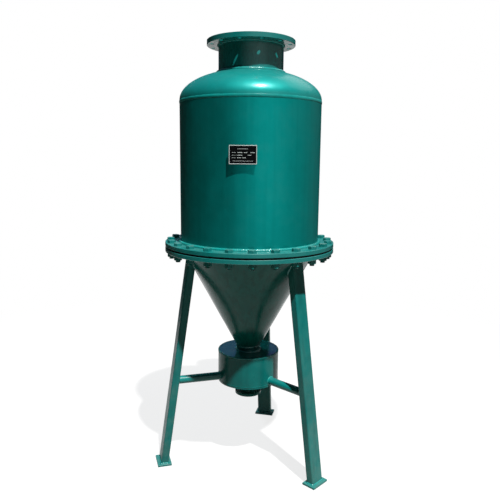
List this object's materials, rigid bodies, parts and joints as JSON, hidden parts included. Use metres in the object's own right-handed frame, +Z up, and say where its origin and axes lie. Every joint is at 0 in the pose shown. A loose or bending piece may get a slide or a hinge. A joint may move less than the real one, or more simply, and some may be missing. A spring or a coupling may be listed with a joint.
{
  "type": "cyclone dirt separator",
  "caption": "Upright cyclone dirt separator: dished vessel with flanged outlet on top, bolted cone, dirt pot with flanged drain and splayed tubular legs.",
  "frame": {"origin": "middle of the plan box, on the floor", "axes": "+Z up; +Y toward the inlet at the back; +X to the right seen from the nameplate side"},
  "size_m": [0.9366, 0.9574, 2.18],
  "materials": {
    "green_enamel": "gloss enamel",
    "gasket_rubber": "matte",
    "nameplate_metal": "black face, bare edge"
  },
  "bodies": {
    "root": {"body_gasket": "gasket_rubber", "cone": "green_enamel", "cone_outlet_pipe": "green_enamel", "drain_flange": "green_enamel", "drain_pipe": "green_enamel", "foot_plate_back": "green_enamel", "foot_plate_front": "green_enamel", "foot_plate_left": "green_enamel", "inlet_flange": "green_enamel", "inlet_pipe": "green_enamel", "leg_back": "green_enamel", "leg_front": "green_enamel", "leg_left": "green_enamel", "lower_body_flange": "green_enamel", "nameplate": "nameplate_metal", "nameplate_bracket": "green_enamel", "outlet_flange": "green_enamel", "outlet_pipe": "green_enamel", "pot_floor": "green_enamel", "pot_lid": "green_enamel", "pot_wall": "green_enamel", "shell": "green_enamel", "strut_back": "green_enamel", "strut_front": "green_enamel", "strut_left": "green_enamel", "top_head": "green_enamel", "upper_body_flange": "green_enamel"}
  },
  "joints": []
}
